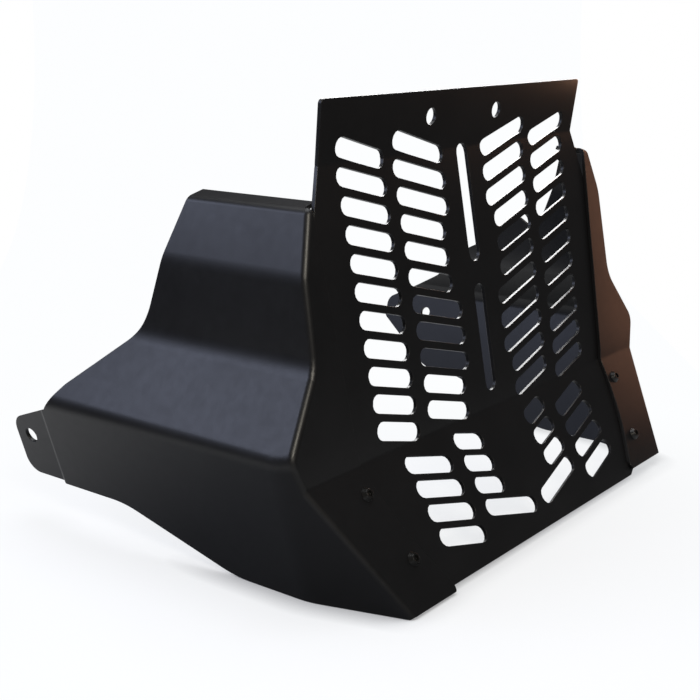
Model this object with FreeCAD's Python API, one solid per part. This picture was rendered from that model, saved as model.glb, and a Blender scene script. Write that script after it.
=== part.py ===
"""Engine skid plate: a slotted front grille bolted between two folded side wings.

The plate stands on Z = 0 and faces -Y.  The grille is mirrored about X = 0; the two
wings differ, as the right one is cut back for the engine.  Sizes are in millimetres and
angles in degrees.  A "drop" is a distance down the grille's front face, measured from
the bend under its top lip.
"""
import FreeCAD, Part
import math
import os

from FreeCAD import Vector

# Sheet metal
GRILLE_SHEET = 3.0
WING_SHEET = 3.0
GRILLE_BEND_RADIUS = 10.0

# Grille, side view: three flat zones; a lean is positive where the zone's foot lies forward
LIP_LENGTH = 43.0
MAIN_LENGTH = 198.5
LOWER_LENGTH = 99.0
LIP_LEAN = -6.6
MAIN_LEAN = 10.2
LOWER_LEAN = 32.9
GRILLE_CLEARANCE = 2.0

# Grille, front outline
GRILLE_WIDTH = 372.0
LIP_TOP_INSET = 16.0
LIP_FOOT_INSET = 18.0
FLARE_DROP = 52.0
SHOULDER_DROP = 30.0
HIP_INSET = 12.0
HIP_DROP = 80.0
FOOT_INSET = 50.0
LIP_CORNER_RADIUS = 3.0

# Holes in the lip, which bolt to the frame
LIP_HOLE_DIAMETER = 12.0
LIP_HOLE_SPACING = 87.6
LIP_HOLE_RISE = 24.5

# Slots: every slanted slot falls towards the middle
SLOT_WIDTH = 13.0
SLOT_FALL = 15.0
SLOT_END_FLATS = 7
MAIN_ROWS = 11
MAIN_LAST_RISE = 12.2
OUTER_FIRST_DROP = -4.7
OUTER_SLOT_MARGIN = 34.6
OUTER_SLOT_INNER_END = 97.5
OUTER_SLOT_TAPER = 0.6
INNER_FIRST_DROP = -3.4
INNER_SLOT_OUTER_END = 88.3
INNER_SLOT_LONG_END = 25.5
INNER_SLOT_SHORT_END = 33.5
INNER_SLOT_TAPER = 0.3
SHORT_ROWS = (3, 4, 5, 9, 10)
CENTRE_SLOT_WIDTH = 14.0
CENTRE_SLOT_TOP = -2.4
CENTRE_SLOT_LENGTH = 88.5
CENTRE_SLOT_GAP = 17.2
CENTRE_SLOT_SHORTENING = 6.1
LOWER_ROWS = 4
LOWER_OUTER_FIRST_DROP = 18.6
LOWER_OUTER_LAST_RISE = 25.8
LOWER_SLOT_MARGIN = 60.0
LOWER_SLOT_INNER_END = 76.8
LOWER_INNER_FIRST_DROP = 15.5
LOWER_INNER_LAST_RISE = 30.7
LOWER_INNER_OUTER_END = 64.4
LOWER_INNER_SHORT_END = 31.2
LOWER_INNER_LONG_END = 5.0

# Wings, front view: outsets from the grille's half width and heights over the floor
LEFT_HEIGHT = 256.5
LEFT_TOP_OUTSET = 0.3
LEFT_CREASE_A_OUTSET = 14.0
LEFT_CREASE_A_HEIGHT = 215.0
LEFT_CREASE_B_OUTSET = 17.5
LEFT_CREASE_B_HEIGHT = 158.0
LEFT_BULGE_OUTSET = 54.0
LEFT_BULGE_HEIGHT = 105.0
RIGHT_HEIGHT = 264.0
RIGHT_TOP_OUTSET = 6.0
RIGHT_CREASE_A_OUTSET = 18.5
RIGHT_CREASE_A_HEIGHT = 229.0
RIGHT_CREASE_B_OUTSET = 19.5
RIGHT_CREASE_B_HEIGHT = 157.0
RIGHT_BULGE_OUTSET = 55.5
RIGHT_BULGE_HEIGHT = 111.0
FOOT_OUTSET = 23.0
WING_TOP_RADIUS = 6.5
CREASE_A_RADIUS = 40.0
CREASE_B_RADIUS = 30.0
BULGE_RADIUS = 16.0
TOP_LIP_WIDTH = 14.0
TOP_LIP_TILT = 15.0

# Wings, soft fold that turns the foot wall inwards at the front
FOLD_Y = -23.0
FOLD_ANGLE = 16.0
FOLD_RADIUS = 60.0

# Wings, front flange over the grille's margin; an overhang runs past the grille's foot
FLANGE_BEND_RADIUS = 5.0
FLANGE_OVERLAP_TOP = 3.6
FLANGE_OVERLAP_BEND = 14.0
FLANGE_OVERLAP_MIDDLE = 28.5
FLANGE_OVERLAP_FOOT = 52.5
FLANGE_MIDDLE_DROP = 54.0
LEFT_FLANGE_OVERHANG = 4.0
RIGHT_FLANGE_OVERHANG = -4.0
FLANGE_EDGE_RADIUS = 150.0
FLANGE_CORNER_RADIUS = 4.5
PANEL_CLEARANCE = 0.5

# Left wing, rear edge
LEFT_REAR_TOP_Y = 100.0
LEFT_WAIST_Y = 129.5
LEFT_WAIST_HEIGHT = 164.0
LEFT_WAIST_RADIUS = 60.0
LEFT_KNEE_Y = 186.0
LEFT_KNEE_HEIGHT = 118.0
LEFT_KNEE_RADIUS = 20.0

# Right wing, rear edge: cut back at the top, with a notch and a small crest below it
RIGHT_REAR_TOP_Y = 19.0
NOTCH_Y = 48.0
NOTCH_HEIGHT = 187.0
NOTCH_RADIUS = 7.0
CREST_Y = 68.0
CREST_HEIGHT = 199.5
CREST_RADIUS = 5.0
RIGHT_SADDLE_Y = 86.0
RIGHT_SADDLE_HEIGHT = 180.5
RIGHT_SADDLE_RADIUS = 30.0
RIGHT_WAIST_Y = 122.0
RIGHT_WAIST_HEIGHT = 163.5
RIGHT_WAIST_RADIUS = 60.0
RIGHT_KNEE_Y = 168.0
RIGHT_KNEE_HEIGHT = 129.0
RIGHT_KNEE_RADIUS = 60.0

# Wings, lower edge
FOOT_REAR_HEIGHT = 33.0
FOOT_RISE_START = 42.0
FOOT_RISE_END = 142.0
FOOT_RISE_RADIUS = 80.0

# Left wing, rear ear: stepped inwards from the foot wall, with its mounting hole
EAR_Y = 207.0
EAR_STEP = 4.0
EAR_STEP_ANGLE = 32.0
EAR_BEND_RADIUS = 5.0
EAR_LENGTH = 46.0
EAR_ROOT = 3.0
EAR_TOP_HEIGHT = 97.0
EAR_TOP_FALL = 18.0
EAR_TOP_RADIUS = 14.0
EAR_FOOT_RADIUS = 12.0
EAR_HOLE_DIAMETER = 12.0
EAR_HOLE_INSET = 16.2
EAR_HOLE_HEIGHT = 66.0

# Right wing, flat tail with its mounting hole
TAIL_Y = 236.0
TAIL_TOP_HEIGHT = 95.5
TAIL_TOP_RADIUS = 10.0
TAIL_FOOT_HEIGHT = 77.5
TAIL_FOOT_RADIUS = 5.0
TAIL_ROOT_Y = 176.0
TAIL_ROOT_RADIUS = 40.0
TAIL_HOLE_DIAMETER = 10.0
TAIL_HOLE_Y = 188.0
TAIL_HOLE_HEIGHT = 86.0

# Screws and nuts
SCREW_DIAMETER = 6.0
SCREW_HOLE_CLEARANCE = 0.2
THREAD_CLEARANCE = 0.05
SCREW_LENGTH = 14.0
HEAD_DIAMETER = 10.5
HEAD_HEIGHT = 3.3
HEAD_TOP_DIAMETER = 6.4
SOCKET_WIDTH = 4.0
SOCKET_DEPTH = 2.0
NUT_WIDTH = 10.0
NUT_HEIGHT = 6.0
SCREW_UPPER_INSET = 8.0
SCREW_UPPER_DROP = 19.0
SCREW_LOWER_INSET = 22.0
SCREW_LOWER_DROP = 70.0

# How far a cutting solid reaches past what it cuts
REACH = 30.0


def sin(angle):
    return math.sin(math.radians(angle))


def cos(angle):
    return math.cos(math.radians(angle))


def tan(angle):
    return math.tan(math.radians(angle))


def down(lean):
    """Direction (y, z) down a zone of the grille."""
    return -sin(lean), -cos(lean)


GRILLE_HALF_WIDTH = GRILLE_WIDTH / 2
LIP_BEND_HEIGHT = (MAIN_LENGTH * cos(MAIN_LEAN) + LOWER_LENGTH * cos(LOWER_LEAN)
                   + GRILLE_SHEET * sin(LOWER_LEAN) + GRILLE_CLEARANCE)


def station(drop):
    """Point (y, z) on the grille's front face, with its bends taken as sharp."""
    if drop <= 0:
        y, z = down(LIP_LEAN)
        return y * drop, LIP_BEND_HEIGHT + z * drop
    on_main = min(drop, MAIN_LENGTH)
    main_y, main_z = down(MAIN_LEAN)
    lower_y, lower_z = down(LOWER_LEAN)
    on_lower = drop - on_main
    return (main_y * on_main + lower_y * on_lower,
            LIP_BEND_HEIGHT + main_z * on_main + lower_z * on_lower)


def side_point(y, z, x=0.0):
    return Vector(x, y, z)


def front_point(x, z, y=0.0):
    return Vector(x, y, z)


def offset_chain(chain, distance):
    """Open chain of (u, v, radius) corners, moved to its left by a distance."""
    lines = []
    for (u0, v0, _), (u1, v1, _) in zip(chain, chain[1:]):
        length = math.hypot(u1 - u0, v1 - v0)
        du, dv = (u1 - u0) / length, (v1 - v0) / length
        lines.append((u0 - dv * distance, v0 + du * distance, du, dv))
    moved = [(lines[0][0], lines[0][1], 0.0)]
    for first, second, corner in zip(lines, lines[1:], chain[1:]):
        u0, v0, du0, dv0 = first
        u1, v1, du1, dv1 = second
        turn = du0 * dv1 - dv0 * du1
        along = ((u1 - u0) * dv1 - (v1 - v0) * du1) / turn
        radius = corner[2] - math.copysign(1.0, turn) * distance
        moved.append((u0 + du0 * along, v0 + dv0 * along, max(radius, 0.0)))
    u_end, v_end, _ = chain[-1]
    _, _, du, dv = lines[-1]
    moved.append((u_end - dv * distance, v_end + du * distance, 0.0))
    return moved


def rounded_face(corners, place):
    """Face inside (u, v, radius) corners, each rounded by its radius."""
    marks = []
    for index, (u, v, radius) in enumerate(corners):
        if radius <= 0:
            marks.append(((u, v), None, (u, v)))
            continue
        here = Vector(u, v, 0)
        before = Vector(*corners[index - 1][:2], 0).sub(here).normalize()
        after = Vector(*corners[(index + 1) % len(corners)][:2], 0).sub(here).normalize()
        half = before.getAngle(after) / 2
        tangent = radius / math.tan(half)
        inward = before.add(after).normalize()
        start = here.add(before * tangent)
        middle = here.add(inward * (radius / math.sin(half) - radius))
        end = here.add(after * tangent)
        marks.append(((start.x, start.y), (middle.x, middle.y), (end.x, end.y)))
    edges = []
    for index, (start, middle, end) in enumerate(marks):
        if middle:
            edges.append(Part.Arc(place(*start), place(*middle), place(*end)).toShape())
        next_start = marks[(index + 1) % len(marks)][0]
        edges.append(Part.makeLine(place(*end), place(*next_start)))
    return Part.Face(Part.Wire(edges))


def sheet_face(chain, thickness, place):
    """Section of a bent sheet whose one face follows an open chain; its body lies to the left."""
    return rounded_face(chain + offset_chain(chain, thickness)[::-1], place)


def mirrored(shape):
    return shape.mirror(Vector(0, 0, 0), Vector(1, 0, 0))


def both_sides(shapes):
    return shapes + [mirrored(shape) for shape in shapes]


class Zone:
    """A flat zone of the grille's front face, with drops measured from its own top edge."""

    def __init__(self, top_drop, lean):
        y, z = station(top_drop)
        down_y, down_z = down(lean)
        self.origin = Vector(0, y, z)
        self.down = Vector(0, down_y, down_z)
        self.outward = Vector(0, down_z, -down_y)

    def point(self, x, drop, proud=0.0):
        return self.origin + self.down * drop + self.outward * proud + Vector(x, 0, 0)

    def slot(self, first, second, width):
        """Cutting solid of a round-ended slot between two (x, drop) end centres."""
        start, end = self.point(*first, REACH / 2), self.point(*second, REACH / 2)
        along = (end - start).normalize() * (width / 2)
        across = along.cross(self.outward)
        turns = [180 * flat / SLOT_END_FLATS for flat in range(SLOT_END_FLATS + 1)]
        corners = [end + across * cos(turn) + along * sin(turn) for turn in turns]
        corners += [start - across * cos(turn) - along * sin(turn) for turn in turns]
        outline = Part.makePolygon(corners + corners[:1])
        return Part.Face(outline).extrude(self.outward * -REACH)

    def slanted_slot(self, outer_end, inner_end, reference, drop):
        """Slot between two overall ends; its centre line passes a reference (x, drop)."""
        outer, inner = outer_end - SLOT_WIDTH / 2, inner_end + SLOT_WIDTH / 2
        fall = tan(SLOT_FALL)
        return self.slot((outer, drop - (outer - reference) * fall),
                         (inner, drop - (inner - reference) * fall), SLOT_WIDTH)

    def hole(self, x, drop, diameter):
        start = self.point(x, drop, REACH / 2)
        return Part.makeCylinder(diameter / 2, REACH, start, self.outward * -1)


LIP = Zone(0, LIP_LEAN)
MAIN = Zone(0, MAIN_LEAN)
LOWER = Zone(MAIN_LENGTH, LOWER_LEAN)
SCREW_SPOTS = (
    (GRILLE_HALF_WIDTH - SCREW_UPPER_INSET, SCREW_UPPER_DROP),
    (GRILLE_HALF_WIDTH - SCREW_LOWER_INSET, SCREW_LOWER_DROP),
)


def grille_chain():
    """Side view of the grille's front face, from its top edge down."""
    return [
        (*station(-LIP_LENGTH), 0.0),
        (*station(0), GRILLE_BEND_RADIUS),
        (*station(MAIN_LENGTH), GRILLE_BEND_RADIUS),
        (*station(MAIN_LENGTH + LOWER_LENGTH), 0.0),
    ]


def screw_holes():
    diameter = SCREW_DIAMETER + 2 * SCREW_HOLE_CLEARANCE
    return both_sides([LOWER.hole(x, drop, diameter) for x, drop in SCREW_SPOTS])


def main_slots():
    slots = []
    pitch = (MAIN_LENGTH - MAIN_LAST_RISE - OUTER_FIRST_DROP) / (MAIN_ROWS - 1)
    outer_end = GRILLE_HALF_WIDTH - OUTER_SLOT_MARGIN
    outer_reference = (outer_end + OUTER_SLOT_INNER_END) / 2
    inner_reference = (INNER_SLOT_OUTER_END + INNER_SLOT_LONG_END) / 2
    for row in range(MAIN_ROWS):
        lower_by = row * pitch
        slots.append(MAIN.slanted_slot(outer_end - row * OUTER_SLOT_TAPER, OUTER_SLOT_INNER_END,
                                       outer_reference, OUTER_FIRST_DROP + lower_by))
        inner_end = INNER_SLOT_SHORT_END if row in SHORT_ROWS else INNER_SLOT_LONG_END
        slots.append(MAIN.slanted_slot(INNER_SLOT_OUTER_END - row * INNER_SLOT_TAPER, inner_end,
                                       inner_reference, INNER_FIRST_DROP + lower_by))
    return both_sides(slots)


def lower_slots():
    slots = []
    gaps = LOWER_ROWS - 1
    outer_pitch = (LOWER_LENGTH - LOWER_OUTER_LAST_RISE - LOWER_OUTER_FIRST_DROP) / gaps
    inner_pitch = (LOWER_LENGTH - LOWER_INNER_LAST_RISE - LOWER_INNER_FIRST_DROP) / gaps
    outer_end = GRILLE_HALF_WIDTH - LOWER_SLOT_MARGIN
    outer_reference = (outer_end + LOWER_SLOT_INNER_END) / 2
    inner_reference = (LOWER_INNER_OUTER_END + LOWER_INNER_SHORT_END) / 2
    for row in range(LOWER_ROWS):
        slots.append(LOWER.slanted_slot(outer_end, LOWER_SLOT_INNER_END, outer_reference,
                                        LOWER_OUTER_FIRST_DROP + row * outer_pitch))
        inner_end = LOWER_INNER_LONG_END if row == gaps else LOWER_INNER_SHORT_END
        slots.append(LOWER.slanted_slot(LOWER_INNER_OUTER_END, inner_end, inner_reference,
                                        LOWER_INNER_FIRST_DROP + row * inner_pitch))
    return both_sides(slots)


def centre_slots():
    slots = []
    for index in range(2):
        top = CENTRE_SLOT_TOP + index * (CENTRE_SLOT_LENGTH + CENTRE_SLOT_GAP)
        length = CENTRE_SLOT_LENGTH - index * CENTRE_SLOT_SHORTENING
        slots.append(MAIN.slot((0, top + CENTRE_SLOT_WIDTH / 2),
                               (0, top + length - CENTRE_SLOT_WIDTH / 2), CENTRE_SLOT_WIDTH))
    return slots


def grille_plate():
    half = GRILLE_HALF_WIDTH + REACH
    section = sheet_face(grille_chain(), GRILLE_SHEET, lambda y, z: side_point(y, z, -half))
    sheet = section.extrude(Vector(2 * half, 0, 0))
    right_side = [
        (LIP_TOP_INSET, -LIP_LENGTH, LIP_CORNER_RADIUS),
        (LIP_FOOT_INSET, 0.0, 0.0),
        (0.0, FLARE_DROP, 0.0),
        (0.0, MAIN_LENGTH + SHOULDER_DROP, 0.0),
        (HIP_INSET, MAIN_LENGTH + HIP_DROP, 0.0),
        (FOOT_INSET, MAIN_LENGTH + LOWER_LENGTH, 0.0),
    ]
    right_side = [(GRILLE_HALF_WIDTH - inset, station(drop)[1], radius) for inset, drop, radius in right_side]
    right_side.append((GRILLE_HALF_WIDTH - FOOT_INSET, -REACH, 0.0))
    left_side = [(-x, z, radius) for x, z, radius in right_side[::-1]]
    depth = REACH + abs(station(MAIN_LENGTH + LOWER_LENGTH)[0])
    outline = rounded_face(right_side + left_side, lambda x, z: front_point(x, z, -depth))
    plate = sheet.common(outline.extrude(Vector(0, 2 * depth, 0)))
    lip_holes = both_sides([LIP.hole(LIP_HOLE_SPACING / 2, -LIP_HOLE_RISE, LIP_HOLE_DIAMETER)])
    cuts = main_slots() + lower_slots() + centre_slots() + lip_holes + screw_holes()
    return plate.cut(Part.makeCompound(cuts)).Solids[0]


FLANGE_INNER_TOP = GRILLE_HALF_WIDTH - FLANGE_OVERLAP_TOP
FLANGE_INNER_BEND = GRILLE_HALF_WIDTH - FLANGE_OVERLAP_BEND
FLANGE_INNER_MIDDLE = GRILLE_HALF_WIDTH - FLANGE_OVERLAP_MIDDLE
FLANGE_INNER_FOOT = GRILLE_HALF_WIDTH - FLANGE_OVERLAP_FOOT
BLOCK_INNER = FLANGE_INNER_FOOT - REACH


REAR_LIMIT = max(EAR_Y + EAR_LENGTH, TAIL_Y) + REACH


def front_chain(inset):
    """Side view of a wing's front flange, running on past both its ends."""
    main_y, main_z = down(MAIN_LEAN)
    lower_y, lower_z = down(LOWER_LEAN)
    top, foot = station(0), station(MAIN_LENGTH + LOWER_LENGTH)
    chain = [
        (top[0] - main_y * REACH, top[1] - main_z * REACH, 0.0),
        (*station(MAIN_LENGTH), GRILLE_BEND_RADIUS),
        (foot[0] + lower_y * 2 * REACH, foot[1] + lower_z * 2 * REACH, 0.0),
    ]
    return offset_chain(chain, inset) if inset else chain


def side_prism(corners, start_x, end_x):
    return rounded_face(corners, lambda y, z: side_point(y, z, start_x)).extrude(Vector(end_x - start_x, 0, 0))


class Wing:
    """A folded side wing, drawn on the right: a shell of three walls' common solid, cut to outline.

    The four spots are (outset, height) corners of its front view, from the top lip down
    to the bulge.  The rear edge is a chain of (y, height, radius) corners from the top
    down to the foot, and the wall reaches back to rear_y.
    """

    def __init__(self, spots, overhang, rear_edge, rear_y):
        self.corners = [(GRILLE_HALF_WIDTH + outset, height) for outset, height in spots]
        self.top_x, self.height = self.corners[0]
        self.crease_x, self.crease_height = self.corners[2]
        self.bulge_x, self.bulge_height = self.corners[3]
        self.foot_drop = LOWER_LENGTH + overhang
        self.rear_edge = rear_edge
        self.rear_y = rear_y
        self.outer_x = self.bulge_x + REACH
        self.foot_slope = (self.bulge_x - GRILLE_HALF_WIDTH - FOOT_OUTSET) / self.bulge_height
        self.foot_down = Vector(-self.foot_slope, 0, -1).normalize()
        self.foot_out = Vector(1, 0, -self.foot_slope).normalize()

    def foot_point(self, y, out, height=None):
        """Point out from the tucked foot wall, at a height on that wall."""
        height = self.bulge_height if height is None else height
        x = self.bulge_x - (self.bulge_height - height) * self.foot_slope
        return Vector(x, y, height) + self.foot_out * out

    def upper_prism(self, inset):
        """Solid inside the top lip and the upper walls, which run on below the bulge."""
        run_on = REACH / (self.crease_height - self.bulge_height)
        end_x = self.bulge_x + (self.bulge_x - self.crease_x) * run_on
        lip_rise = (self.top_x - BLOCK_INNER) * tan(TOP_LIP_TILT)
        radii = (WING_TOP_RADIUS, CREASE_A_RADIUS, CREASE_B_RADIUS)
        chain = [(BLOCK_INNER, self.height + lip_rise, 0.0)]
        chain += [(x, height, radius) for (x, height), radius in zip(self.corners, radii)]
        chain.append((end_x, self.bulge_height - REACH, 0.0))
        chain = offset_chain(chain, -inset)
        closing = [(chain[-1][0], -REACH, 0.0), (chain[0][0], -REACH, 0.0)]
        front_y = station(MAIN_LENGTH + LOWER_LENGTH)[0] - REACH
        face = rounded_face(chain + closing, lambda x, z: front_point(x, z, front_y))
        return face.extrude(Vector(0, self.rear_y - front_y, 0))

    def foot_prism(self, inset):
        """Solid inside the tucked foot wall, which folds inwards at the front."""
        inner = -2 * self.outer_x
        chain = [
            (REAR_LIMIT, 0.0, 0.0),
            (FOLD_Y, 0.0, FOLD_RADIUS),
            (FOLD_Y - self.height * cos(FOLD_ANGLE), -self.height * sin(FOLD_ANGLE), 0.0),
        ]
        chain = offset_chain(chain, inset)
        closing = [(chain[-1][0], inner, 0.0), (REAR_LIMIT, inner, 0.0)]
        face = rounded_face(chain + closing, self.foot_point)
        face.translate(self.foot_down * -self.height)
        return face.extrude(self.foot_down * 2 * self.height)

    def block(self, inset):
        """Solid inside the whole wing, whose walls are moved inwards by an inset."""
        chain = front_chain(inset - WING_SHEET)
        closing = [(REAR_LIMIT, chain[-1][1], 0.0), (REAR_LIMIT, chain[0][1], 0.0)]
        flange = side_prism(chain + closing, BLOCK_INNER - REACH, self.outer_x + REACH)
        block = self.upper_prism(inset).common(self.foot_prism(inset)).common(flange).Solids[0]
        block = block.makeFillet(BULGE_RADIUS - inset, self.bulge_edges(block))
        return block.makeFillet(FLANGE_BEND_RADIUS - inset, self.front_edges(block, inset))

    def bulge_edges(self, block):
        """Edges of a block between its upper walls and its tucked foot wall."""
        edges = []
        for edge in block.Edges:
            start, end = edge.Vertexes[0].Point, edge.Vertexes[-1].Point
            middle = edge.valueAt((edge.FirstParameter + edge.LastParameter) / 2)
            outside = middle.x > (self.crease_x + self.bulge_x) / 2
            lengthwise = abs(end.y - start.y) > max(abs(end.x - start.x), abs(end.z - start.z))
            if outside and lengthwise and self.bulge_height / 2 < middle.z < self.crease_height:
                edges.append(edge)
        return edges

    def front_edges(self, block, inset):
        """Edges of a block between its front and its walls."""
        edges = []
        for edge in block.Edges:
            middle = edge.valueAt((edge.FirstParameter + edge.LastParameter) / 2)
            proud = [(middle - zone.origin).dot(zone.outward) - WING_SHEET + inset for zone in (MAIN, LOWER)]
            across = abs(edge.Vertexes[0].X - edge.Vertexes[-1].X)
            bend_line = edge.Length - across < 0.01 and middle.z < self.bulge_height
            closing = middle.x < BLOCK_INNER + inset + 1 or middle.z < 1 - REACH
            if min(map(abs, proud)) < 1 and not bend_line and not closing:
                edges.append(edge)
        return edges

    def side_outline(self):
        """Solid within the side outline."""
        above = self.height + (self.top_x - BLOCK_INNER) * tan(TOP_LIP_TILT) + REACH
        (top_y, top_z, _), (next_y, next_z, _) = self.rear_edge[:2]
        lean = (next_y - top_y) / (top_z - next_z)
        foot = LOWER.point(0, self.foot_drop)
        to_floor = LOWER.point(0, self.foot_drop, -foot.z / LOWER.outward.z)
        front = LOWER.point(0, self.foot_drop, 2 * REACH)
        corners = [(top_y - lean * (above - top_z), above, 0.0)] + self.rear_edge[1:] + [
            (FOOT_RISE_END, FOOT_REAR_HEIGHT, FOOT_RISE_RADIUS),
            (FOOT_RISE_START, 0.0, FOOT_RISE_RADIUS),
            (to_floor.y, 0.0, 0.0),
            (front.y, front.z, 0.0),
            (front.y, above, 0.0),
        ]
        return side_prism(corners, BLOCK_INNER - REACH, self.outer_x + REACH)

    def flange_trim(self):
        """Solid in front of the grille's back, inside the inner edge of the flange."""
        top, bend = self.height, station(MAIN_LENGTH)[1]
        middle = station(MAIN_LENGTH + FLANGE_MIDDLE_DROP)[1]
        foot = station(MAIN_LENGTH + self.foot_drop)[1]
        slope = (FLANGE_INNER_TOP - FLANGE_INNER_BEND) / (top - bend)
        above = top + 2 * REACH
        corners = [
            (FLANGE_INNER_TOP + slope * (above - top), above, 0.0),
            (FLANGE_INNER_BEND, bend, FLANGE_EDGE_RADIUS),
            (FLANGE_INNER_MIDDLE, middle, FLANGE_EDGE_RADIUS),
            (FLANGE_INNER_FOOT, foot, FLANGE_CORNER_RADIUS),
            (FLANGE_INNER_FOOT + REACH, foot, 0.0),
            (FLANGE_INNER_FOOT + REACH, -REACH, 0.0),
            (BLOCK_INNER - REACH, -REACH, 0.0),
            (BLOCK_INNER - REACH, above, 0.0),
        ]
        depth = abs(station(MAIN_LENGTH + LOWER_LENGTH)[0]) + REACH
        inside = rounded_face(corners, lambda x, z: front_point(x, z, -depth)).extrude(Vector(0, 2 * depth, 0))
        behind = front_chain(GRILLE_SHEET + PANEL_CLEARANCE)
        closing = [(-depth, behind[-1][1], 0.0), (-depth, behind[0][1], 0.0)]
        return inside.common(side_prism(behind + closing, BLOCK_INNER - 2 * REACH, self.outer_x))

    def top_lip_trim(self):
        """Block inside the inner edge of the top lip."""
        edge = self.top_x - TOP_LIP_WIDTH
        width = edge - BLOCK_INNER + REACH
        corner = Vector(edge - width, -REACH, self.height - WING_SHEET - REACH / 2)
        return Part.makeBox(width, REAR_LIMIT + REACH, 2 * REACH, corner)

    def solid(self, ear, mounting_hole):
        shell = self.block(0.0).cut(self.block(WING_SHEET))
        wing = (shell.fuse(ear) if ear else shell).common(self.side_outline())
        wing = wing.cut([self.flange_trim(), self.top_lip_trim(), mounting_hole] + screw_holes())
        return wing.removeSplitter().Solids[0]

    def wall_hole(self, y, out, height, diameter):
        """Cutting solid of a hole square to the foot wall."""
        start = self.foot_point(y, out, height) - self.foot_out * (REACH / 2)
        return Part.makeCylinder(diameter / 2, REACH, start, self.foot_out)


def left_wing():
    """Left wing, still drawn on the right."""
    end = EAR_Y + EAR_LENGTH
    wing = Wing(
        spots=[
            (LEFT_TOP_OUTSET, LEFT_HEIGHT),
            (LEFT_CREASE_A_OUTSET, LEFT_CREASE_A_HEIGHT),
            (LEFT_CREASE_B_OUTSET, LEFT_CREASE_B_HEIGHT),
            (LEFT_BULGE_OUTSET, LEFT_BULGE_HEIGHT),
        ],
        overhang=LEFT_FLANGE_OVERHANG,
        rear_edge=[
            (LEFT_REAR_TOP_Y, LEFT_HEIGHT, 0.0),
            (LEFT_WAIST_Y, LEFT_WAIST_HEIGHT, LEFT_WAIST_RADIUS),
            (LEFT_KNEE_Y, LEFT_KNEE_HEIGHT, LEFT_KNEE_RADIUS),
            (EAR_Y - EAR_ROOT, EAR_TOP_HEIGHT, 0.0),
            (end, EAR_TOP_HEIGHT - EAR_TOP_FALL, EAR_TOP_RADIUS),
            (end, FOOT_REAR_HEIGHT, EAR_FOOT_RADIUS),
        ],
        rear_y=EAR_Y - EAR_ROOT)
    hole = wing.wall_hole(end - EAR_HOLE_INSET, -EAR_STEP, EAR_HOLE_HEIGHT, EAR_HOLE_DIAMETER)
    return wing.solid(ear_strip(wing), hole)


def ear_strip(wing):
    """Strip of the foot wall that steps inwards at the ear, before it is cut to shape."""
    chain = [
        (-EAR_ROOT, 0.0, 0.0),
        (0.0, 0.0, EAR_BEND_RADIUS),
        (EAR_STEP / tan(EAR_STEP_ANGLE), -EAR_STEP, EAR_BEND_RADIUS),
        (EAR_LENGTH + REACH, -EAR_STEP, 0.0),
    ]
    section = sheet_face(chain, -WING_SHEET, lambda along, out: wing.foot_point(EAR_Y + along, out))
    return section.extrude(wing.foot_down * (LEFT_BULGE_HEIGHT + REACH))


def right_wing():
    wing = Wing(
        spots=[
            (RIGHT_TOP_OUTSET, RIGHT_HEIGHT),
            (RIGHT_CREASE_A_OUTSET, RIGHT_CREASE_A_HEIGHT),
            (RIGHT_CREASE_B_OUTSET, RIGHT_CREASE_B_HEIGHT),
            (RIGHT_BULGE_OUTSET, RIGHT_BULGE_HEIGHT),
        ],
        overhang=RIGHT_FLANGE_OVERHANG,
        rear_edge=[
            (RIGHT_REAR_TOP_Y, RIGHT_HEIGHT, 0.0),
            (NOTCH_Y, NOTCH_HEIGHT, NOTCH_RADIUS),
            (CREST_Y, CREST_HEIGHT, CREST_RADIUS),
            (RIGHT_SADDLE_Y, RIGHT_SADDLE_HEIGHT, RIGHT_SADDLE_RADIUS),
            (RIGHT_WAIST_Y, RIGHT_WAIST_HEIGHT, RIGHT_WAIST_RADIUS),
            (RIGHT_KNEE_Y, RIGHT_KNEE_HEIGHT, RIGHT_KNEE_RADIUS),
            (TAIL_Y, TAIL_TOP_HEIGHT, TAIL_TOP_RADIUS),
            (TAIL_Y, TAIL_FOOT_HEIGHT, TAIL_FOOT_RADIUS),
            (TAIL_ROOT_Y, FOOT_REAR_HEIGHT, TAIL_ROOT_RADIUS),
        ],
        rear_y=REAR_LIMIT)
    hole = wing.wall_hole(TAIL_HOLE_Y, 0.0, TAIL_HOLE_HEIGHT, TAIL_HOLE_DIAMETER)
    return wing.solid(None, hole)


def on_zone(shape, zone, x, drop, proud):
    """Shape modelled about +Z, stood on a zone of the grille."""
    turn = FreeCAD.Rotation(Vector(0, 0, 1), zone.outward)
    shape.Placement = FreeCAD.Placement(zone.point(x, drop, proud), turn)
    return shape


def hexagon(width, height):
    """Hexagonal prism by its width over flats."""
    radius = width / 2 / cos(30)
    corners = [Vector(radius * cos(60 * turn), radius * sin(60 * turn), 0) for turn in range(6)]
    return Part.Face(Part.makePolygon(corners + corners[:1])).extrude(Vector(0, 0, height))


def screw(x, drop):
    """Button-head screw through the wing's flange and the grille."""
    head = Part.makeCone(HEAD_DIAMETER / 2, HEAD_TOP_DIAMETER / 2, HEAD_HEIGHT)
    shank = Part.makeCylinder(SCREW_DIAMETER / 2, SCREW_LENGTH, Vector(0, 0, -SCREW_LENGTH))
    socket = hexagon(SOCKET_WIDTH, SOCKET_DEPTH)
    socket.translate(Vector(0, 0, HEAD_HEIGHT - SOCKET_DEPTH))
    return on_zone(head.fuse(shank).cut(socket), LOWER, x, drop, WING_SHEET)


def nut(x, drop):
    """Nut behind the grille, on the end of a screw."""
    bore = Part.makeCylinder(SCREW_DIAMETER / 2 + THREAD_CLEARANCE, NUT_HEIGHT)
    solid = hexagon(NUT_WIDTH, NUT_HEIGHT).cut(bore)
    return on_zone(solid, LOWER, x, drop, -GRILLE_SHEET - NUT_HEIGHT)


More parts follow.
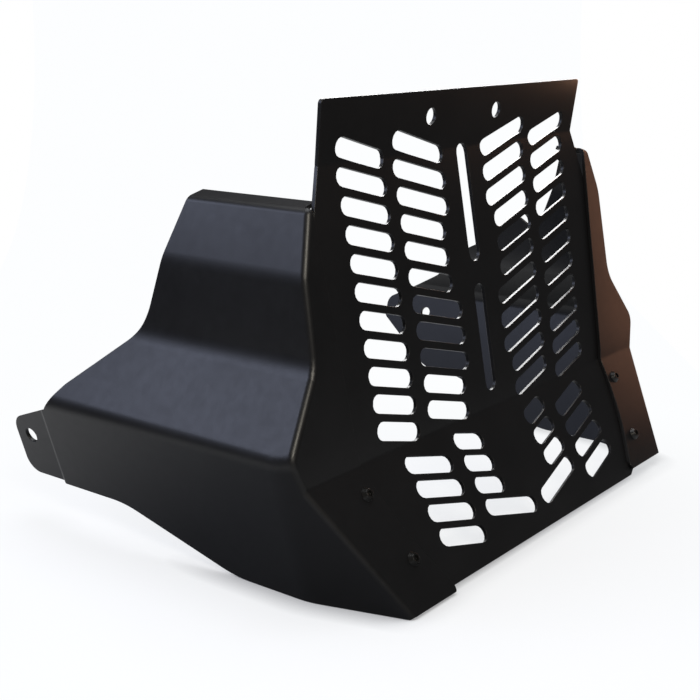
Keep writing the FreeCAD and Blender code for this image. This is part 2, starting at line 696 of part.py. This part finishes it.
def build():
    return {
        "grille_plate": grille_plate(),
        "left_wing": mirrored(left_wing()),
        "right_wing": right_wing(),
        "flange_screws": Part.makeCompound(both_sides([screw(*spot) for spot in SCREW_SPOTS])),
        "lock_nuts": Part.makeCompound(both_sides([nut(*spot) for spot in SCREW_SPOTS])),
    }


nodes = build()
bounds = Part.makeCompound(list(nodes.values())).optimalBoundingBox(False, False)
to_origin = Vector(-bounds.Center.x, -bounds.Center.y, -bounds.ZMin)
os.makedirs("parts", exist_ok=True)
for name, shape in nodes.items():
    shape.translate(to_origin)
    shape.exportStep(f"parts/{name}.step")
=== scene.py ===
"""Engine skid plate in satin black powder coat, on a white paper sweep.

Lengths are in metres and angles in degrees, unless a name says otherwise.
"""

import math

import bpy
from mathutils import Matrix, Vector

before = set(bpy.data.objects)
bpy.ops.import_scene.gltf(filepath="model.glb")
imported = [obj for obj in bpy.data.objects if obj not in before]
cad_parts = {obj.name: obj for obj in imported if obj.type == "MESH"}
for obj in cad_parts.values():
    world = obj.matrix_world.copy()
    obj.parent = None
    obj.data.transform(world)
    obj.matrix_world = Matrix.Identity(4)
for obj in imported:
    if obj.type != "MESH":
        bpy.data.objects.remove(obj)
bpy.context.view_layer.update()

MM = 0.001

# Camera, fitted to the slot pattern in a picture of 700 by 700 pixels
CAMERA_PLACE = (-0.79537, -0.59277, 0.37370)
CAMERA_AZIMUTH = 52.15
CAMERA_ELEVATION = 14.75
FOCAL_PIXELS = 1260.0
PICTURE_PIXELS = 700.0
SENSOR_WIDTH_MM = 36.0
VIEW_LIMIT = 50.0

# Level directions as the camera sees them
FORWARD = Vector((math.sin(math.radians(CAMERA_AZIMUTH)), math.cos(math.radians(CAMERA_AZIMUTH)), 0))
RIGHT = Vector((FORWARD.y, -FORWARD.x, 0))

# Edge rounds, and the gaps closed before and after them; wider ones spoil the lip round its holes
SHEET_ROUND = 0.4 * MM
FASTENER_ROUND = 0.25 * MM
ROUND_STEPS = 3
SHARP_ANGLE = 40
FLAT_ANGLE = 0.3
SEAM_GAP = 0.01 * MM
CORNER_GAP = 0.002 * MM
NORMAL_WEIGHT = 90

# Coats; a texture's scale is about its number of spots in a metre
FASTENERS = ("flange_screws", "lock_nuts")
COAT_GLOSS = 0.35
ROUGHNESS_SPREAD = 0.10
CLOUD_SCALE = 22.0
SMUDGE_SCALE = 11.0
PATCH_SCALE = 140.0
WAVE_SCALE = 20.0
WAVE_HEIGHT = 0.25 * MM
PEEL_SCALE = 1500.0
PEEL_HEIGHT = 0.05 * MM

# Paper: its tone for the camera and for all other light, its emitted tone in the open, and a painted
# contact shadow in that emitted tone close under the plate
PAPER_TONE = (0.92, 0.94, 0.98)
DIM_PAPER_TONE = (0.22, 0.23, 0.25)
OPEN_GLOW = (0.98, 0.99, 1.0)
# Painted contact shadow: the dark emitted colour, and how near the plate must be for ambient occlusion
# to darken it
PAINTED_CONTACT_SHADOW = (0.10, 0.10, 0.115)
PAINTED_SHADOW_REACH = 0.02

# Share of plain white close to the plate, which keeps its shadow faint, and where that share grows to 1
SHADOW_FILL = 0.72
SHADOW_CENTRE = (-0.16, -0.10, 0)
SHADOW_REACH = (0.12, 0.50)

# Paper sweep: its edges and bend, from the frame's origin along the level directions
SWEEP_LEFT = -0.54
SWEEP_RIGHT = 0.36
SWEEP_FRONT = -0.9
SWEEP_BEND_START = 0.75
SWEEP_BEND_RADIUS = 0.4
SWEEP_BEND_STEPS = 12
SWEEP_HEIGHT = 0.46
SWEEP_DROP = 0.2 * MM

ROOM_TONE = (0.080, 0.080, 0.082)
WHITE = (1, 1, 1)
PLATE_MIDDLE = (0, 0, 0.12)


def add_camera():
    data = bpy.data.cameras.new("camera")
    data.sensor_width = SENSOR_WIDTH_MM
    data.lens = data.sensor_width * FOCAL_PIXELS / PICTURE_PIXELS
    data.clip_end = VIEW_LIMIT
    camera = bpy.data.objects.new("camera", data)
    camera.location = CAMERA_PLACE
    camera.rotation_euler = (math.radians(90 - CAMERA_ELEVATION), 0, math.radians(-CAMERA_AZIMUTH))
    bpy.context.scene.collection.objects.link(camera)
    bpy.context.scene.camera = camera


def link(tree, source, output, target, socket):
    tree.links.new(source.outputs[output], target.inputs[socket])


def node(tree, kind, **inputs):
    """Shader node; an input's name has underscores for spaces."""
    made = tree.nodes.new(kind)
    for name, value in inputs.items():
        made.inputs[name.replace("_", " ")].default_value = value
    return made


def math_node(tree, operation, *sources):
    """Math node on (node, output) pairs."""
    made = tree.nodes.new("ShaderNodeMath")
    made.operation = operation
    for index, (source, output) in enumerate(sources):
        link(tree, source, output, made, index)
    return made


def noise(tree, position, scale, detail):
    made = node(tree, "ShaderNodeTexNoise", Scale=scale, Detail=detail)
    link(tree, position, "Object", made, "Vector")
    return made


def smooth_range(tree, source, output, before, after):
    """Maps one range to another with a soft start and end."""
    made = node(
        tree, "ShaderNodeMapRange",
        From_Min=before[0], From_Max=before[1], To_Min=after[0], To_Max=after[1],
    )
    made.interpolation_type = "SMOOTHSTEP"
    link(tree, source, output, made, "Value")
    return made


def colour_mix(tree, factor, output, first, second):
    made = tree.nodes.new("ShaderNodeMix")
    made.data_type = "RGBA"
    made.inputs["A"].default_value = (*first, 1)
    made.inputs["B"].default_value = (*second, 1)
    link(tree, factor, output, made, "Factor")
    return made


def coat_material(name, dark, light, rough, peel):
    """Black coat with a fine orange peel, faint cloudiness and slightly uneven gloss."""
    material = bpy.data.materials.new(name)
    material.use_nodes = True
    tree = material.node_tree
    shader = tree.nodes["Principled BSDF"]
    shader.inputs["Specular IOR Level"].default_value = COAT_GLOSS
    position = tree.nodes.new("ShaderNodeTexCoord")

    cloud = noise(tree, position, CLOUD_SCALE, detail=3.0)
    colour = colour_mix(tree, cloud, "Fac", dark, light)
    link(tree, colour, "Result", shader, "Base Color")

    smudge = noise(tree, position, SMUDGE_SCALE, detail=4.0)
    patch = noise(tree, position, PATCH_SCALE, detail=2.0)
    # Two noises from 0 to 1 add up to a value from 0 to 2
    uneven = math_node(tree, "ADD", (smudge, "Fac"), (patch, "Fac"))
    roughness = node(
        tree, "ShaderNodeMapRange",
        From_Max=2.0, To_Min=rough - ROUGHNESS_SPREAD, To_Max=rough + ROUGHNESS_SPREAD,
    )
    link(tree, uneven, "Value", roughness, "Value")
    link(tree, roughness, "Result", shader, "Roughness")

    wave = noise(tree, position, WAVE_SCALE, detail=0.0)
    waviness = node(tree, "ShaderNodeBump", Strength=1.0, Distance=WAVE_HEIGHT)
    link(tree, wave, "Fac", waviness, "Height")
    grain = noise(tree, position, PEEL_SCALE, detail=1.0)
    orange_peel = node(tree, "ShaderNodeBump", Strength=peel, Distance=PEEL_HEIGHT)
    link(tree, grain, "Fac", orange_peel, "Height")
    link(tree, waviness, "Normal", orange_peel, "Normal")
    link(tree, orange_peel, "Normal", shader, "Normal")
    return material


def join_near(obj, name, distance):
    weld = obj.modifiers.new(name, "WELD")
    weld.merge_threshold = distance


def soften(obj, width):
    """Joins a solid's faces, gives its sharp edges a small round and shades it smoothly."""
    join_near(obj, "seams", SEAM_GAP)
    flats = obj.modifiers.new("flats", "DECIMATE")
    flats.decimate_type = "DISSOLVE"
    flats.angle_limit = math.radians(FLAT_ANGLE)
    bevel = obj.modifiers.new("edge round", "BEVEL")
    bevel.width = width
    bevel.segments = ROUND_STEPS
    bevel.limit_method = "ANGLE"
    bevel.angle_limit = math.radians(SHARP_ANGLE)
    bevel.use_clamp_overlap = False
    join_near(obj, "corners", CORNER_GAP)
    normals = obj.modifiers.new("normals", "WEIGHTED_NORMAL")
    normals.weight = NORMAL_WEIGHT
    for face in obj.data.polygons:
        face.use_smooth = True


def dress():
    """Gives the sheets a powder coat and the fasteners a black oxide, and softens their edges."""
    powder = coat_material(
        "powder_coat", dark=(0.004, 0.004, 0.0045), light=(0.009, 0.009, 0.010), rough=0.38, peel=0.2,
    )
    oxide = coat_material(
        "black_oxide", dark=(0.004, 0.004, 0.004), light=(0.010, 0.010, 0.010), rough=0.30, peel=0.1,
    )
    for name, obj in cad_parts.items():
        fastener = name in FASTENERS
        obj.data.materials.clear()
        obj.data.materials.append(oxide if fastener else powder)
        soften(obj, FASTENER_ROUND if fastener else SHEET_ROUND)


def paper_material():
    """White paper that keeps a faint real shadow of the plate, has a painted contact shadow in its
    emitted colour close under it, and fades to plain white further off.
    """
    material = bpy.data.materials.new("paper")
    material.use_nodes = True
    tree = material.node_tree
    tree.nodes.remove(tree.nodes["Principled BSDF"])
    path = tree.nodes.new("ShaderNodeLightPath")
    place = tree.nodes.new("ShaderNodeNewGeometry")
    reach = tree.nodes.new("ShaderNodeVectorMath")
    reach.operation = "DISTANCE"
    reach.inputs[1].default_value = SHADOW_CENTRE
    link(tree, place, "Position", reach, 0)

    paper = tree.nodes.new("ShaderNodeBsdfDiffuse")
    tone = colour_mix(tree, path, "Is Camera Ray", DIM_PAPER_TONE, PAPER_TONE)
    link(tree, tone, "Result", paper, "Color")

    far = smooth_range(tree, reach, "Value", SHADOW_REACH, (0.0, 1.0))
    white = node(tree, "ShaderNodeEmission", Strength=1.0)
    # Painted contact shadow: ambient occlusion darkens the paper's emitted colour where the plate is
    # near
    painted_contact_shade = node(tree, "ShaderNodeAmbientOcclusion", Distance=PAINTED_SHADOW_REACH)
    unshadowed_share = math_node(tree, "MAXIMUM", (painted_contact_shade, "AO"), (far, "Result"))
    glow_with_painted_shadow = colour_mix(tree, unshadowed_share, "Value", PAINTED_CONTACT_SHADOW, OPEN_GLOW)
    link(tree, glow_with_painted_shadow, "Result", white, "Color")

    seen = smooth_range(tree, reach, "Value", SHADOW_REACH, (SHADOW_FILL, 1.0))
    shown = math_node(tree, "MULTIPLY", (seen, "Result"), (path, "Is Camera Ray"))
    mirrored = math_node(tree, "MAXIMUM", (path, "Is Glossy Ray"), (path, "Is Transmission Ray"))
    reflected = math_node(tree, "MULTIPLY", (far, "Result"), (mirrored, "Value"))
    share = math_node(tree, "MAXIMUM", (shown, "Value"), (reflected, "Value"))
    mix = tree.nodes.new("ShaderNodeMixShader")
    link(tree, share, "Value", mix, 0)
    link(tree, paper, 0, mix, 1)
    link(tree, white, 0, mix, 2)
    link(tree, mix, 0, tree.nodes["Material Output"], "Surface")
    return material


def add_sweep():
    """Paper that lies under the plate and curves up behind it."""
    profile = [(SWEEP_FRONT, 0.0), (SWEEP_BEND_START, 0.0)]
    for step in range(1, SWEEP_BEND_STEPS + 1):
        turn = math.radians(90 * step / SWEEP_BEND_STEPS)
        along = SWEEP_BEND_START + SWEEP_BEND_RADIUS * math.sin(turn)
        profile.append((along, SWEEP_BEND_RADIUS * (1 - math.cos(turn))))
    profile.append((SWEEP_BEND_START + SWEEP_BEND_RADIUS, SWEEP_HEIGHT))
    corners, faces = [], []
    for along, up in profile:
        for side in (SWEEP_LEFT, SWEEP_RIGHT):
            corners.append(FORWARD * along + RIGHT * side + Vector((0, 0, up - SWEEP_DROP)))
    for strip in range(len(profile) - 1):
        first = 2 * strip
        faces.append((first, first + 1, first + 3, first + 2))
    mesh = bpy.data.meshes.new("paper_sweep")
    mesh.from_pydata(corners, [], faces)
    for face in mesh.polygons:
        face.use_smooth = True
    sweep = bpy.data.objects.new("paper_sweep", mesh)
    bpy.context.scene.collection.objects.link(sweep)
    mesh.materials.append(paper_material())


def add_room():
    """Dim room that the camera sees as plain white."""
    world = bpy.data.worlds.new("room")
    bpy.context.scene.world = world
    world.use_nodes = True
    tree = world.node_tree
    path = tree.nodes.new("ShaderNodeLightPath")
    tone = colour_mix(tree, path, "Is Camera Ray", ROOM_TONE, WHITE)
    link(tree, tone, "Result", tree.nodes["Background"], "Color")


def add_softbox(name, place, target, size, radiance, colour):
    """Rectangular lamp of a given brightness, aimed at a point."""
    width, height = size
    data = bpy.data.lights.new(name, "AREA")
    data.shape = "RECTANGLE"
    data.size = width
    data.size_y = height
    data.energy = radiance * math.pi * width * height
    data.color = colour
    lamp = bpy.data.objects.new(name, data)
    lamp.location = place
    lamp.rotation_euler = (Vector(target) - Vector(place)).to_track_quat("-Z", "Y").to_euler()
    lamp.visible_camera = False
    bpy.context.scene.collection.objects.link(lamp)
    return lamp


def light_only(lamp, *names):
    """Keeps a lamp's light on some nodes, as a shade beside it would."""
    lit = bpy.data.collections.new(lamp.name + "_lights")
    for name in names:
        lit.objects.link(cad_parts[name])
    lamp.light_linking.receiver_collection = lit


def add_light():
    """Soft boxes above, behind and in front, and two small warm lamps at the right."""
    add_softbox(
        "overhead", place=(0.05, 0.25, 1.9), target=PLATE_MIDDLE,
        size=(1.5, 1.5), radiance=3.4, colour=(0.97, 0.98, 1.0),
    )
    add_softbox(
        "left_back", place=(-1.25, 0.95, 1.0), target=PLATE_MIDDLE,
        size=(1.1, 0.75), radiance=5.0, colour=(0.68, 0.75, 1.0),
    )
    add_softbox(
        "front", place=(-0.86, -1.02, 0.9), target=(-0.2, -0.1, 0.2),
        size=(0.4, 0.3), radiance=30.0, colour=(1.0, 0.93, 0.80),
    )
    add_softbox(
        "warm_corner", place=(0.275, -0.10, 0.34), target=(0.17, -0.04, 0.31),
        size=(0.06, 0.06), radiance=9.0, colour=(1.0, 0.50, 0.30),
    )
    back = add_softbox(
        "back", place=(1.15, 0.95, 1.0), target=PLATE_MIDDLE,
        size=(1.2, 0.5), radiance=15.0, colour=WHITE,
    )
    light_only(back, "grille_plate", "right_wing", "flange_screws")
    warm_right = add_softbox(
        "warm_right", place=(0.43, -0.19, 0.22), target=(0.23, -0.1, 0.18),
        size=(0.08, 0.34), radiance=1.7, colour=(1.0, 0.46, 0.27),
    )
    light_only(warm_right, "right_wing", "flange_screws")


add_camera()
dress()
add_sweep()
add_room()
add_light()

bpy.context.scene.view_settings.view_transform = "Standard"
